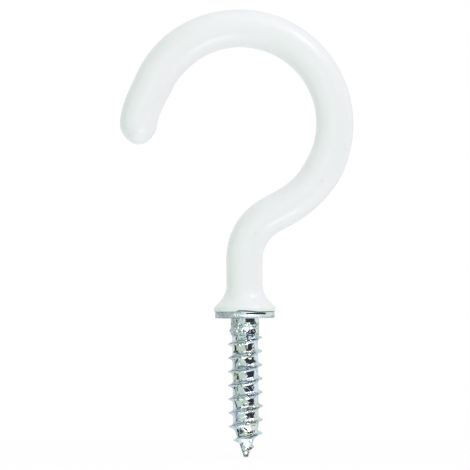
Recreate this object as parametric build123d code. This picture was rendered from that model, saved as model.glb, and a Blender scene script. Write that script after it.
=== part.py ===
from build123d import *

import os
from math import ceil, cos, pi, radians, sin, tan

# A vinyl-coated cup hook, in millimetres with +Z up. One steel wire is upset to a collar, rolled to a wood screw
# below it and bent to a question mark above it, then dipped in white vinyl down to the collar. The origin is on
# the screw's axis, at the collar's seat. The hook lies in the XZ plane, with its mouth towards -X.

# The wire and its bends, along its centre line from the collar's seat to the tip
wire_diameter = 3.5
stem_length = 7.3
lower_bend_radius = 6.0
lower_bend_angle = 62.4
ramp_length = 2.0
eye_bend_radius = 11.75
eye_bend_angle = 205.7
nose_bend_radius = 6.0
nose_bend_angle = 10.3
limb_length = 3.2
tip_bend_radius = 11.1
tip_bend_angle = 17.1
wire_end_chamfer = 0.5

# The collar, with a flat seat below and a cone above that runs into the wire
collar_diameter = 7.35
collar_thickness = 1.05
collar_edge_radius = 0.15
cone_diameter = 6.6
cone_angle = 45.0

# The wood screw: a plain shank, a rolled right-hand thread with hollow flanks, and a gimlet point
screw_length = 17.15
shank_length = 2.0
root_diameter = 3.15
point_length = 3.9
point_end_diameter = 0.5
point_edge_radius = 0.2
thread_pitch = 1.69
crest_diameter = 4.2
crest_land = 0.1
crest_taper_length = 3.1
crest_flank_angle = 18.0
crest_flank_share = 0.5
middle_flank_angle = 42.0
middle_flank_share = 0.25
foot_flank_angle = 65.0
thread_start_angle = 81.0
thread_end_gap = 0.5
thread_run_turns = 0.25
ridge_sink = 0.06
ridge_points_per_turn = 24
ridge_slope_turns = 1e-4

# The vinyl, thinner on the stem than at the tip, where the dipped hook drained
coat_stem_wall = 0.48
coat_cone_wall = 0.55
coat_tip_wall = 0.63
coat_end_wall = 0.9
coat_flare_height = 4.06
coat_edge_height = 0.86
coat_edge_overhang = 0.16
coat_edge_radius = 0.3
coat_lip_radius = 0.12

# Sizes that follow from those above
wire_radius = wire_diameter / 2
collar_radius = collar_diameter / 2
cone_radius = cone_diameter / 2
cone_slope = tan(radians(cone_angle))
cone_top = collar_thickness + (cone_radius - wire_radius) / cone_slope
root_radius = root_diameter / 2
root_top = -shank_length - abs(wire_radius - root_radius)
crest_radius = crest_diameter / 2
point_end_radius = point_end_diameter / 2
flank_steps = (
    (crest_flank_share, crest_flank_angle),
    (middle_flank_share, middle_flank_angle),
    (1 - crest_flank_share - middle_flank_share, foot_flank_angle),
)
thread_turns = (screw_length - shank_length - thread_end_gap) / thread_pitch
coat_stem_radius = wire_radius + coat_stem_wall
coat_tip_radius = wire_radius + coat_tip_wall


def hook_line(start_height):
    """The wire's centre line, from a height on the stem to the end of the tip bend."""
    with BuildLine(Plane.XZ) as line:
        stem = Line((0, start_height), (0, stem_length))
        lower_bend = JernArc(stem @ 1, stem % 1, lower_bend_radius, -lower_bend_angle)
        ramp = PolarLine(lower_bend @ 1, ramp_length, direction=lower_bend % 1)
        eye_bend = JernArc(ramp @ 1, ramp % 1, eye_bend_radius, eye_bend_angle)
        nose_bend = JernArc(eye_bend @ 1, eye_bend % 1, nose_bend_radius, nose_bend_angle)
        limb = PolarLine(nose_bend @ 1, limb_length, direction=nose_bend % 1)
        JernArc(limb @ 1, limb % 1, tip_bend_radius, tip_bend_angle)
    return line.wire()


def tip_plane():
    """The plane across the wire where the tip bend ends, facing out of the tip."""
    line = hook_line(0)
    return Plane(line @ 1, z_dir=line % 1)


def bent_wire():
    """The hook's wire, from the collar's seat to a chamfered end inside the vinyl's tip."""
    wire = sweep(Circle(wire_radius), path=hook_line(0))
    reach = coat_tip_radius - coat_end_wall
    end = Cylinder(wire_radius, reach, align=(Align.CENTER, Align.CENTER, Align.MIN))
    end = chamfer(end.edges().group_by(Axis.Z)[-1], wire_end_chamfer)
    return wire + tip_plane() * end


def screw_and_collar():
    """The turned form on the screw's axis: point, root, shank, collar and cone."""
    with BuildSketch(Plane.XZ) as section:
        with BuildLine():
            Polyline(
                (0, -screw_length),
                (point_end_radius, -screw_length),
                (root_radius, point_length - screw_length),
                (root_radius, root_top),
                (wire_radius, -shank_length),
                (wire_radius, 0),
                (collar_radius, 0),
                (collar_radius, collar_thickness),
                (cone_radius, collar_thickness),
                (wire_radius, cone_top),
                (0, cone_top),
                close=True,
            )
        make_face()
        fillet(section.vertices().group_by(Axis.X)[-1], collar_edge_radius)
        fillet(section.vertices().group_by(Axis.Y)[0].sort_by(Axis.X)[-1], point_edge_radius)
    return revolve(section.sketch, Axis.Z)


def along_point(full_radius, length, height):
    """A radius of the screw at a height, which narrows to the point's end over the last length."""
    share = (screw_length + height) / length
    return min(full_radius, point_end_radius + (full_radius - point_end_radius) * share)


def ridge_corners(turn):
    """The thread ridge's section so many turns down, from its upper foot over the crest to its lower foot."""
    height = -shank_length - turn * thread_pitch
    root = along_point(root_radius, point_length, height)
    crest = along_point(crest_radius, crest_taper_length, height)
    sink = min(ridge_sink, root / 2)
    run_share = max(0, min(1, turn / thread_run_turns, (thread_turns - turn) / thread_run_turns))
    rise_share = run_share * run_share * (3 - 2 * run_share)
    top = (root - sink / 2) * (1 - rise_share) + crest * rise_share
    fall_share = 0
    half_width = crest_land / 2
    flank = [(fall_share, half_width)]
    for step_share, slope in flank_steps:
        fall_share += step_share
        half_width += (top - root + sink) * step_share * tan(radians(slope))
        flank.append((fall_share, half_width))
    angle = radians(thread_start_angle) - 2 * pi * turn
    across = Vector(cos(angle), sin(angle), 0)
    corners = []
    for fall_share, rise in flank[::-1] + [(fall_share, -width) for fall_share, width in flank]:
        foot = along_point(root_radius, point_length, height + rise) - sink
        radius = top * (1 - fall_share) + foot * fall_share
        corners.append(across * radius + Vector(0, 0, height + rise))
    return corners


def ridge_curve(corner, turns):
    """The curve that one corner of the ridge's section draws over a list of turns."""
    points = [ridge_corners(turn)[corner] for turn in turns]
    slopes = []
    for turn in (turns[0], turns[-1]):
        after = ridge_corners(turn + ridge_slope_turns)[corner]
        before = ridge_corners(turn - ridge_slope_turns)[corner]
        slopes.append((after - before) / (2 * ridge_slope_turns))
    return Edge.make_spline(points, tangents=slopes, parameters=turns, scale=False)


def thread_ridge():
    """The thread's ridge, with its foot sunk in the root and a set of ruled sides for each turn.

    It rises out of the shank and runs out along the point."""
    corners = range(len(ridge_corners(0)))
    sets = ceil(thread_turns)
    set_turns = thread_turns / sets
    step_share = 1 / ridge_points_per_turn
    faces = []
    for index in range(sets):
        turns = [(index + step * step_share) * set_turns for step in range(ridge_points_per_turn + 1)]
        curves = [ridge_curve(corner, turns) for corner in corners]
        faces += [Face.make_surface_from_curves(curves[corner - 1], curves[corner]) for corner in corners]
    for turn in (0, thread_turns):
        faces.append(Face(Wire.make_polygon(ridge_corners(turn), close=True)))
    return Solid(Shell(faces))


def coat_flare():
    """The vinyl's flare over the cone and the collar's rim, solid to the axis."""
    edge_radius = collar_radius + coat_edge_overhang
    cone_reach = cone_radius + coat_cone_wall / cos(radians(cone_angle))
    edge_top = collar_thickness + (cone_reach - edge_radius) / cone_slope
    cone_corner = collar_thickness + (cone_reach - coat_stem_radius) / cone_slope
    blend = coat_flare_height - cone_corner
    blend_radius = coat_stem_radius + blend * sin(radians(cone_angle))
    blend_height = cone_corner - blend * cos(radians(cone_angle))
    with BuildSketch(Plane.XZ) as section:
        with BuildLine():
            rim = Polyline(
                (blend_radius, blend_height),
                (edge_radius, edge_top),
                (edge_radius, coat_edge_height),
                (0, coat_edge_height),
                (0, coat_flare_height),
                (coat_stem_radius, coat_flare_height),
            )
            TangentArc(rim @ 1, rim @ 0, tangent=(0, -1))
        make_face()
        outer = section.vertices().group_by(Axis.X)[-1].sort_by(Axis.Y)
        fillet(outer[-1], coat_edge_radius)
        fillet(outer[0], coat_lip_radius)
    return revolve(section.sketch, Axis.Z)


def steel_hook():
    """Screw, collar and bent wire, one piece of plated steel."""
    return screw_and_collar() + thread_ridge() + bent_wire()


def vinyl_coating(steel):
    """The dipped skin: a tapering tube with a round tip and a flared foot, all round the steel."""
    tip = tip_plane()
    stem_section = Plane.XY.offset(coat_flare_height) * Circle(coat_stem_radius)
    tip_section = tip * Circle(coat_tip_radius)
    tube = sweep([stem_section, tip_section], path=hook_line(coat_flare_height), multisection=True)
    cap = Sphere(coat_tip_radius, arc_size1=0, align=(Align.CENTER, Align.CENTER, Align.MIN))
    return tube + tip * cap + coat_flare() - steel


steel = steel_hook()
coating = vinyl_coating(steel)
os.makedirs("parts", exist_ok=True)
export_step(steel, "parts/steel_hook.step")
export_step(coating, "parts/vinyl_coating.step")
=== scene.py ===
import math

import bpy
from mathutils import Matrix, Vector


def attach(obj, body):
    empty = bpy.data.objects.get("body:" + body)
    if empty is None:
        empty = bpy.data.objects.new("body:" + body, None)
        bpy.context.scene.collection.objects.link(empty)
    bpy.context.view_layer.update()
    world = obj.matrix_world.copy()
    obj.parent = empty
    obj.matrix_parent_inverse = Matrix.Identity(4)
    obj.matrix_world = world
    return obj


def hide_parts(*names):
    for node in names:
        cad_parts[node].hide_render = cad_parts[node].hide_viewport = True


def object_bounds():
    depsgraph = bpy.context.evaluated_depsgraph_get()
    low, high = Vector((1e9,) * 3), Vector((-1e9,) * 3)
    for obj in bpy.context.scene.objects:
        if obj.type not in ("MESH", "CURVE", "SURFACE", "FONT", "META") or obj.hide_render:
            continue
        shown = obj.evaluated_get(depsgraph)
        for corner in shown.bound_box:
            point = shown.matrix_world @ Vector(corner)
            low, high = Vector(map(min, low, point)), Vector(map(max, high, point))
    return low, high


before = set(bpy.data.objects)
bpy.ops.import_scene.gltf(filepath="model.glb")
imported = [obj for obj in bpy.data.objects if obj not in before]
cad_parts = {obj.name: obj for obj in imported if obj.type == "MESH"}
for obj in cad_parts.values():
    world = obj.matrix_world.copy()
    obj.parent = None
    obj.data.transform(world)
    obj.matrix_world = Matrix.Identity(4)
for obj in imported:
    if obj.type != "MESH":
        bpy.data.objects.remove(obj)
solid_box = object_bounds()
bpy.ops.object.select_all(action="DESELECT")

# The hook: one length of steel wire, upset to a collar, rolled to a wood screw below it and bent cold above,
# then plated with bright zinc that has faint straw and blue tints. The rolling dies leave dents in the root
# and pits on the flanks. Crests are a shade greyer. Rim and shank are rubbed dull on the mouth's side, where
# the colour is also greyed as painted shade. The rim's top and bottom edges carry painted shade lines, and
# the point is painted darker toward its end.
mm = 0.001


class Signal:
    """A shader socket. Sums on it add Math nodes to its material."""

    def __init__(self, tree, socket=None):
        self.tree = tree
        self.socket = socket

    def node(self, kind, settings, inputs, output=0):
        made = self.tree.nodes.new(kind)
        for name, value in settings.items():
            setattr(made, name, value)
        for name, value in inputs.items():
            if isinstance(value, Signal):
                self.tree.links.new(value.socket, made.inputs[name])
            else:
                made.inputs[name].default_value = value
        return Signal(self.tree, made.outputs[output] if made.outputs else None)

    def maths(self, operation, first, second):
        return self.node("ShaderNodeMath", {"operation": operation}, {0: first, 1: second})

    def __add__(self, other):
        return self.maths("ADD", self, other)

    def __radd__(self, other):
        return self.maths("ADD", other, self)

    def __sub__(self, other):
        return self.maths("SUBTRACT", self, other)

    def __rsub__(self, other):
        return self.maths("SUBTRACT", other, self)

    def __mul__(self, other):
        return self.maths("MULTIPLY", self, other)

    def __rmul__(self, other):
        return self.maths("MULTIPLY", other, self)

    def noise(self, scale, detail=2.0, distortion=0.0):
        inputs = {"Vector": self, "Scale": scale, "Detail": detail, "Distortion": distortion}
        return self.node("ShaderNodeTexNoise", {}, inputs)

    def between(self, low, high):
        settings = {"interpolation_type": "SMOOTHSTEP"}
        return self.node("ShaderNodeMapRange", settings, {"Value": self, "From Min": low, "From Max": high})

    def mix(self, colour_at_0, colour_at_1):
        inputs = {0: self, 6: colour_at_0, 7: colour_at_1}
        return self.node("ShaderNodeMix", {"data_type": "RGBA"}, inputs, output=2)

    def bump(self, depth, strength=1.0, under=None):
        inputs = {"Strength": strength, "Distance": depth, "Height": self}
        if under:
            inputs["Normal"] = under
        return self.node("ShaderNodeBump", {}, inputs)


def new_finish(name):
    """A material with an empty tree, and the object coordinates in it."""
    material = bpy.data.materials.new(name)
    material.use_nodes = True
    material.node_tree.nodes.clear()
    place = Signal(material.node_tree).node("ShaderNodeTexCoord", {}, {}, output="Object")
    return material, place


def surface(place, shader):
    place.node("ShaderNodeOutputMaterial", {}, {"Surface": shader})


def zinc_plate():
    material, place = new_finish("zinc_plate")
    bright = (0.69, 0.78, 0.81, 1.0)
    straw = (0.70, 0.73, 0.62, 1.0)
    blue = (0.53, 0.63, 0.71, 1.0)
    crest_and_shade_grey = (0.63, 0.70, 0.73, 1.0)
    shade_and_point_grey = (0.13, 0.14, 0.16, 1.0)
    glancing_tint = (0.70, 0.785, 0.83, 1.0)
    blue_share = 0.7
    crest_share = 0.9
    left_shade_share = 0.4
    darkening_share = 0.7
    rim_edge_shade = 0.4

    rolled_heights = (-0.4 * mm, -0.8 * mm)
    flank_radii = (1.575 * mm, 1.725 * mm)
    crest_radii = (1.875 * mm, 2.1 * mm)
    rim_radii = (3.6 * mm, 3.66 * mm)
    rim_middle = 0.6 * mm
    rim_waver = 0.3 * mm
    rim_crown = 1300.0
    lip_line = (0.7 * mm, 0.8 * mm)
    seat_line = (0.15 * mm, 0.05 * mm)
    rubbed_and_shaded_heights = (-2.6 * mm, -2.0 * mm)
    mouth_side = (0.1 * mm, -1.3 * mm)
    point_heights = (-16.4 * mm, -17.0 * mm)
    dent_depth = 0.08 * mm
    rolled_dent_depth = 0.42 * mm
    rolled_pit_depth = 0.06 * mm
    flank_pit_depth = 0.1 * mm
    rubbed_pit_depth = 0.35 * mm
    grain_depth = 0.004 * mm

    east = place.node("ShaderNodeSeparateXYZ", {}, {"Vector": place}, output="X")
    north = place.node("ShaderNodeSeparateXYZ", {}, {"Vector": place}, output="Y")
    up = place.node("ShaderNodeSeparateXYZ", {}, {"Vector": place}, output="Z")
    radius = place.maths("SQRT", east * east + north * north, 0.0)
    rolled = up.between(*rolled_heights)
    flank = rolled * radius.between(*flank_radii)
    crest = rolled * radius.between(*crest_radii)
    rim = radius.between(*rim_radii)
    rim_height = up - rim_middle + rim_waver * (place.noise(260.0) - 0.5)
    # Rubbed dull and pitted on the mouth's (left) side; the grey mixed into the colour there is painted shade
    # on that side.
    rubbed_and_left_shade = up.between(*rubbed_and_shaded_heights) * east.between(*mouth_side)
    rim_edges = up.between(*lip_line) + up.between(*seat_line)
    # Painted shade: a dark line on the rim's top edge under the lip and on its bottom edge at the seat, plus
    # the point darkened toward its end.
    rim_shade_and_dark_point = rim_edge_shade * rim * rim_edges + up.between(*point_heights)

    straw_patch = place.noise(420.0, 2.0, 0.4).between(0.46, 0.62)
    blue_patch = place.noise(610.0, 2.0, 0.6).between(0.52, 0.66)
    colour = straw_patch.mix(bright, straw)
    colour = (blue_patch * blue_share).mix(colour, blue)
    colour = (crest * crest_share).mix(colour, crest_and_shade_grey)
    # Painted shade: the left side of rim and shank greyed.
    colour = (rubbed_and_left_shade * left_shade_share).mix(colour, crest_and_shade_grey)
    # Mixes in the painted shade on the rim's edges and the darker point.
    colour = (rim_shade_and_dark_point * darkening_share).mix(colour, shade_and_point_grey)

    dent = place.noise(620.0, 2.5, 0.7) - 0.5
    pit = place.noise(1800.0, 2.0, 0.5) - 0.5
    grain = place.noise(5200.0, 2.0)
    rough = 0.06 + 0.08 * grain + 0.04 * straw_patch + (0.06 + 0.24 * rim) * rubbed_and_left_shade
    dents = dent * (dent_depth + rolled_dent_depth * rolled)
    pits = pit * (rolled_pit_depth * rolled + flank_pit_depth * flank + rubbed_pit_depth * rubbed_and_left_shade)
    relief = dents + pits - rim * rim_height * rim_height * rim_crown
    normal = grain.bump(grain_depth, 0.3, relief.bump(1.0))

    metal = place.node("ShaderNodeBsdfPrincipled", {}, {
        "Base Color": colour,
        "Metallic": 1.0,
        "Specular Tint": glancing_tint,
        "Roughness": rough,
        "Normal": normal,
    })
    surface(place, metal)
    return material


zinc = zinc_plate()
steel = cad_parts["steel_hook"]
steel.data.materials.clear()
steel.data.materials.append(zinc)

# The start of the thread: the rolling dies lift a low ridge out of the plain shank above the first crest.
# It is the same plated steel as the hook, and falls for one turn, from the right round the front and left.


def between_places(places, where):
    """A value read between the places where it is known, with an easy change from each to the next."""
    for (start, low), (end, high) in zip(places, places[1:]):
        if where <= end:
            share = max(0.0, (where - start) / (end - start))
            return low + (high - low) * share * share * (3.0 - 2.0 * share)
    return places[-1][1]


pitch = 1.69 * mm
ridge_corners = 4
ridge_centre = 1.72 * mm
ridge_first_angle = math.radians(366.0)
ridge_first_height = -0.66 * mm
ridge_steps_per_turn = 30
ridge_spread = 2.2
ridge_crease = math.radians(30.0)
ridge_sizes = [
    (0.0, 0.04), (0.15, 0.21), (0.30, 0.22), (0.52, 0.20), (0.72, 0.24), (0.85, 0.26), (1.0, 0.05),
]

bpy.ops.mesh.primitive_circle_add(
    vertices=ridge_corners,
    radius=ridge_sizes[0][1] * mm,
    location=(
        ridge_centre * math.cos(ridge_first_angle),
        ridge_centre * math.sin(ridge_first_angle),
        ridge_first_height,
    ),
    rotation=(math.radians(90.0), 0.0, ridge_first_angle),
)
ridge = bpy.context.active_object
ridge.name = "thread_start"
bpy.ops.object.transform_apply(location=True, rotation=True, scale=True)
bpy.ops.object.mode_set(mode="EDIT")
bpy.ops.mesh.select_all(action="SELECT")
bpy.ops.mesh.edge_face_add()
bpy.ops.transform.resize(value=(1.0, 1.0, ridge_spread))
angle = ridge_first_angle
height = ridge_first_height
size = ridge_sizes[0][1]
turned = math.tau / ridge_steps_per_turn
fall = pitch / ridge_steps_per_turn
for step in range(1, round(ridge_sizes[-1][0] * ridge_steps_per_turn) + 1):
    angle -= turned
    height -= fall
    bpy.ops.mesh.extrude_region_move(TRANSFORM_OT_translate={"value": (0.0, 0.0, -fall)})
    bpy.ops.transform.rotate(value=turned, orient_axis="Z", center_override=(0.0, 0.0, height))
    next_size = between_places(ridge_sizes, step / ridge_steps_per_turn)
    growth = next_size / size
    centre = (ridge_centre * math.cos(angle), ridge_centre * math.sin(angle), height)
    bpy.ops.transform.resize(value=(growth, growth, growth), center_override=centre)
    size = next_size
bpy.ops.mesh.select_all(action="SELECT")
bpy.ops.mesh.normals_make_consistent(inside=False)
bpy.ops.mesh.select_all(action="DESELECT")
bpy.ops.object.mode_set(mode="OBJECT")
bpy.ops.object.shade_smooth_by_angle(angle=ridge_crease)
ridge.data.materials.append(zinc)
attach(ridge, "root")

# The coating: plasticised white vinyl. The bent hook is heated and dipped down to the collar, so the skin
# is one piece without a seam. It fuses to a satin gloss, faintly mottled with a few specks, runs thicker to
# the tip, where it drains, and ends on the collar's rim in a soft uneven lip that looks a little green.


def white_vinyl():
    material, place = new_finish("white_vinyl")
    cool = (0.85, 0.862, 0.862, 1.0)
    pale = (0.87, 0.865, 0.882, 1.0)
    mottle_grey = (0.80, 0.84, 0.84, 1.0)
    thin_green = (0.79, 0.866, 0.815, 1.0)
    speck_grey = (0.36, 0.42, 0.50, 1.0)
    mottle_share = 0.25
    speck_share = 0.15
    specks = 600.0
    thin_heights = (1.5 * mm, 1.2 * mm)
    sag_depth = 0.2 * mm
    peel_depth = 0.008 * mm

    up = place.node("ShaderNodeSeparateXYZ", {}, {"Vector": place}, output="Z")
    thin_edge = up.between(*thin_heights)
    drift = place.noise(140.0, 2.0, 0.5).between(0.35, 0.65)
    mottle = place.noise(1300.0, 3.0).between(0.55, 0.75)
    cell = place.node("ShaderNodeTexVoronoi", {}, {"Vector": place, "Scale": specks}, output="Distance")
    cell_pick = place.node("ShaderNodeTexVoronoi", {}, {"Vector": place, "Scale": specks}, output="Color")
    picked = place.node("ShaderNodeSeparateColor", {}, {"Color": cell_pick}).between(0.70, 0.71)
    speck = picked * (1 - cell.between(0.03, 0.15))

    colour = drift.mix(cool, pale)
    colour = (mottle * mottle_share).mix(colour, mottle_grey)
    colour = thin_edge.mix(colour, thin_green)
    colour = (speck * speck_share).mix(colour, speck_grey)

    sag = place.noise(230.0, 1.5, 0.3)
    peel = place.noise(2600.0, 2.0)
    rough = 0.38 + 0.10 * place.noise(800.0, 3.0)
    normal = peel.bump(peel_depth, 0.3, sag.bump(sag_depth, 0.5))

    vinyl = place.node("ShaderNodeBsdfPrincipled", {}, {
        "Base Color": colour,
        "Roughness": rough,
        "Normal": normal,
        "IOR": 1.5,
        "Specular IOR Level": 0.3,
        "Coat Weight": 0.3,
        "Coat Roughness": 0.14,
    })
    surface(place, vinyl)
    return material


def next_ring(ring, radius, run=0.0, turn=0.0, bend_radius=0.0):
    """Extrudes the open ring along its heading or round a bend, and resizes it about its centre."""
    bpy.ops.mesh.extrude_region_move(TRANSFORM_OT_translate={"value": (0.0, 0.0, 0.0)})
    if turn:
        side = math.copysign(bend_radius, turn)
        pivot_x = ring["x"] - side * math.sin(ring["heading"])
        pivot_z = ring["z"] + side * math.cos(ring["heading"])
        bpy.ops.transform.rotate(value=turn, orient_axis="Y", center_override=(pivot_x, 0.0, pivot_z))
        ring["heading"] += turn
        ring["x"] = pivot_x + side * math.sin(ring["heading"])
        ring["z"] = pivot_z - side * math.cos(ring["heading"])
    else:
        step = (run * math.cos(ring["heading"]), 0.0, run * math.sin(ring["heading"]))
        bpy.ops.transform.translate(value=step)
        ring["x"] += step[0]
        ring["z"] += step[2]
    scale = radius / ring["radius"]
    bpy.ops.transform.resize(value=(scale, scale, scale), center_override=(ring["x"], 0.0, ring["z"]))
    ring["radius"] = radius


skin_sides = 64
skin_wall = 0.12 * mm
ring_step = 1.0 * mm
lip = [(3.79, 0.81), (3.83, 0.89), (3.83, 1.10), (3.79, 1.27), (3.66, 1.46)]
flare = [
    (3.40, 1.73), (3.05, 2.08), (2.77, 2.41), (2.54, 2.79), (2.37, 3.19), (2.265, 3.62), (2.23, 4.06),
]
swells = [
    (4.06, 2.23), (13.0, 2.30), (20.0, 2.29), (22.5, 2.39), (25.5, 2.31), (32.0, 2.29),
    (47.0, 2.33), (52.0, 2.40), (56.0, 2.46), (59.5, 2.41), (64.0, 2.33), (67.0, 2.28),
]
bends = [
    (3.24, 0.0, 0.0), (0.0, 6.0, -62.4), (2.0, 0.0, 0.0), (0.0, 11.75, 205.7),
    (0.0, 9.0, 10.3), (2.83, 0.0, 0.0), (0.0, 11.1, 12.0), (0.0, 4.0, 14.4),
]
tip = [
    (0.60, 2.20), (1.15, 1.90), (1.50, 1.67), (1.81, 1.38),
    (2.05, 1.08), (2.20, 0.82), (2.33, 0.52), (2.41, 0.22),
]
notch = [
    (-0.74, 0.22), (-0.37, 0.20), (0.0, 0.17), (0.37, 0.14), (0.74, 0.11), (1.10, 0.07), (1.45, 0.03),
]
notch_top = (lip[0][1] + lip[1][1]) / 2.0 * mm
notch_reach = 0.15 * mm
notch_spread = 0.34 * mm

first_radius = lip[0][0] * mm
first_height = lip[0][1] * mm
bpy.ops.mesh.primitive_circle_add(vertices=skin_sides, radius=first_radius, location=(0.0, 0.0, first_height))
coating = bpy.context.active_object
coating.name = "vinyl_skin"
bpy.ops.object.transform_apply(location=True, rotation=True, scale=True)
bpy.ops.object.mode_set(mode="EDIT")
bpy.ops.mesh.select_all(action="SELECT")
ring = {"x": 0.0, "z": first_height, "heading": math.radians(90.0), "radius": first_radius}
for radius, height in lip[1:] + flare:
    next_ring(ring, radius * mm, run=height * mm - ring["z"])
length = ring["z"]
for run, bend_radius, turn in bends:
    span = run * mm + bend_radius * mm * math.radians(abs(turn))
    steps = math.ceil(span / ring_step)
    for step in range(steps):
        length += span / steps
        radius = between_places(swells, length / mm) * mm
        if turn:
            next_ring(ring, radius, turn=math.radians(turn) / steps, bend_radius=bend_radius * mm)
        else:
            next_ring(ring, radius, run=run * mm / steps)
reached = 0.0
for forward, radius in tip:
    next_ring(ring, radius * mm, run=(forward - reached) * mm)
    reached = forward
bpy.ops.mesh.merge(type="CENTER")
bpy.ops.mesh.select_all(action="SELECT")
bpy.ops.mesh.normals_make_consistent(inside=False)
for across, rise in notch:
    bpy.ops.mesh.select_all(action="DESELECT")
    bpy.ops.object.mode_set(mode="OBJECT")
    for vertex in coating.data.vertices:
        near = abs(vertex.co.x - across * mm) < notch_reach and vertex.co.y < 0.0
        vertex.select = near and vertex.co.z < notch_top
    bpy.ops.object.mode_set(mode="EDIT")
    bpy.ops.transform.translate(
        value=(0.0, 0.0, rise * mm),
        use_proportional_edit=True,
        proportional_edit_falloff="SMOOTH",
        proportional_size=notch_spread,
    )
bpy.ops.mesh.select_all(action="DESELECT")
bpy.ops.object.mode_set(mode="OBJECT")

wall = coating.modifiers.new("wall", "SOLIDIFY")
wall.thickness = skin_wall
wall.offset = -1.0
bpy.ops.object.modifier_apply(modifier="wall")
rounded = coating.modifiers.new("rounded", "SUBSURF")
rounded.levels = 1
rounded.render_levels = 1
bpy.ops.object.modifier_apply(modifier="rounded")
bpy.ops.object.shade_smooth()
coating.data.materials.append(white_vinyl())
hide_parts("vinyl_coating")
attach(coating, "root")

# The studio: a white floor under the screw's point, a white world all round, a soft key lamp, a front fill
# and two small lamps that only gloss sees. Cards and dark flags give the metal something to mirror, and one
# card shades the vinyl's left. The camera has a long lens, square to the hook's plane at its middle height.
white = (1.0, 1.0, 1.0, 1.0)
floor_size = 8.0
floor_height = solid_box[0].z
middle_height = 10.2 * mm


def seen_as_background(place):
    """1 for rays that see the background: from the camera, from gloss and through glass."""
    camera = place.node("ShaderNodeLightPath", {}, {}, output="Is Camera Ray")
    gloss = place.node("ShaderNodeLightPath", {}, {}, output="Is Glossy Ray")
    through = place.node("ShaderNodeLightPath", {}, {}, output="Is Transmission Ray")
    return place.maths("MAXIMUM", place.maths("MAXIMUM", camera, gloss), through)


def floor_white():
    """Paper that glows white to the camera, and shows a faint shadow near the screw's point."""
    material, place = new_finish("floor_white")
    near_glow = 0.9
    shadow_fades = (0.02, 0.15)
    paper = place.node("ShaderNodeBsdfDiffuse", {}, {"Color": white})
    glow = place.node("ShaderNodeEmission", {}, {"Color": white, "Strength": 1.0})
    away = place.node("ShaderNodeVectorMath", {"operation": "LENGTH"}, {0: place}, output="Value")
    share = seen_as_background(place) * (near_glow + (1.0 - near_glow) * away.between(*shadow_fades))
    surface(place, place.node("ShaderNodeMixShader", {}, {0: share, 1: paper, 2: glow}))
    return material


bpy.ops.mesh.primitive_plane_add(size=floor_size, location=(0.0, 0.0, floor_height))
floor = bpy.context.active_object
floor.name = "floor"
floor.data.materials.append(floor_white())
floor.visible_glossy = False
floor.visible_shadow = False

world = bpy.data.worlds.new("studio")
bpy.context.scene.world = world
world.use_nodes = True
world.node_tree.nodes.clear()
sky = Signal(world.node_tree)
soft = sky.node("ShaderNodeBackground", {}, {"Color": (0.97, 1.0, 0.985, 1.0), "Strength": 0.88})
plain = sky.node("ShaderNodeBackground", {}, {"Color": white, "Strength": 1.0})
shown = sky.node("ShaderNodeMixShader", {}, {0: seen_as_background(sky), 1: soft, 2: plain})
sky.node("ShaderNodeOutputWorld", {}, {"Surface": shown})


def toward(right, up, distance):
    """A place in metres from the hook's middle, by its angles in degrees from the camera's direction."""
    turn = math.radians(right)
    rise = math.radians(up)
    return (
        distance * math.sin(turn) * math.cos(rise),
        -distance * math.cos(turn) * math.cos(rise),
        middle_height + distance * math.sin(rise),
    )


def aim(thing):
    """Turns a lamp or a card to face the hook's middle."""
    there = thing.location.copy()
    there.z -= middle_height
    thing.rotation_euler = there.to_track_quat("Z", "Y").to_euler()


def soft_lamp(name, right, up, distance, width, height, power, tint):
    bpy.ops.object.light_add(type="AREA", location=toward(right, up, distance))
    lamp = bpy.context.active_object
    lamp.name = name
    lamp.data.shape = "ELLIPSE"
    lamp.data.size = width
    lamp.data.size_y = height
    lamp.data.energy = power
    lamp.data.color = tint
    aim(lamp)
    return lamp


def plain_card(name, shade):
    material, place = new_finish(name)
    surface(place, place.node("ShaderNodeEmission", {}, {"Color": shade, "Strength": 1.0}))
    return material


def metal_card(name, right, up, distance, width, height, shade):
    """A card that the metal mirrors, unseen by the camera and by diffuse light."""
    bpy.ops.mesh.primitive_plane_add(size=1.0, location=toward(right, up, distance))
    card = bpy.context.active_object
    card.name = name
    card.scale = (width, height, 1.0)
    aim(card)
    card.data.materials.append(plain_card(name, shade))
    card.visible_camera = False
    card.visible_diffuse = False
    card.visible_shadow = False
    return card


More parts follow.
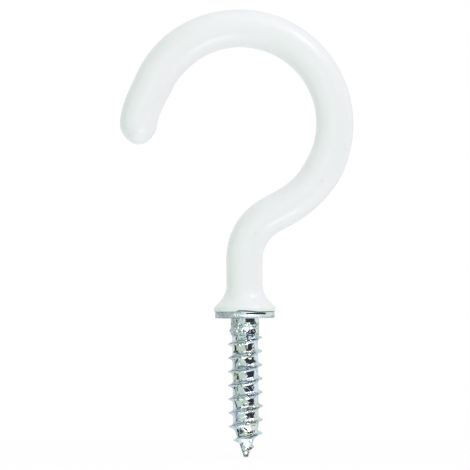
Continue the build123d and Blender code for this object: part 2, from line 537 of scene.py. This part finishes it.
soft_lamp("key_lamp", 28.0, 54.0, 0.45, 0.30, 0.30, 0.20, (1.0, 0.78, 1.08))
side_lamp = soft_lamp("side_lamp", 58.4, 48.5, 0.45, 0.11, 0.11, 0.31, (1.0, 0.90, 1.06))
side_lamp.visible_diffuse = False
low_lamp = soft_lamp("low_lamp", 25.5, -43.5, 0.40, 0.24, 0.03, 0.31, (1.0, 1.0, 1.0))
low_lamp.visible_diffuse = False
front_lamp = soft_lamp("front_lamp", -6.0, 8.0, 0.60, 0.30, 0.30, 0.45, (1.0, 0.98, 1.0))
front_lamp.visible_glossy = False
metal_card("dark_flag", 49.0, 0.0, 0.40, 0.76, 0.54, (0.045, 0.045, 0.065, 1.0))
metal_card("grey_card", -51.0, 0.0, 0.40, 0.80, 0.54, (0.69, 0.80, 0.70, 1.0))
shade_card = metal_card("shade_card", -60.0, 0.0, 0.40, 0.84, 0.29, (0.0, 0.26, 0.04, 1.0))
shade_card.visible_glossy = False
shade_card.visible_diffuse = True
metal_card("high_card", 25.0, 78.0, 0.42, 0.45, 0.45, (1.4, 1.3, 1.5, 1.0))
metal_card("low_card", 25.0, -78.0, 0.42, 0.45, 0.45, (1.3, 1.3, 1.34, 1.0))
metal_card("slim_flag", -100.0, 0.0, 0.38, 0.20, 0.90, (0.01, 0.01, 0.02, 1.0))
metal_card("upper_flag", -65.0, 45.0, 0.40, 0.36, 0.09, (0.01, 0.01, 0.02, 1.0))
metal_card("lower_flag", -65.0, -45.0, 0.40, 0.36, 0.09, (0.01, 0.01, 0.02, 1.0))

view_width = 57.9 * mm
camera_distance = 0.8
camera_across = -1.13 * mm
camera_height = 10.24 * mm
camera_roll = 0.4765
sensor_width = 36.0
bpy.ops.object.camera_add(location=(camera_across, -camera_distance, camera_height))
camera = bpy.context.active_object
camera.rotation_euler = (math.radians(90.0), math.radians(camera_roll), 0.0)
camera.data.sensor_width = sensor_width
camera.data.lens = sensor_width * camera_distance / view_width
camera.data.clip_start = 0.01
bpy.context.scene.camera = camera
bpy.context.scene.view_settings.view_transform = "Standard"
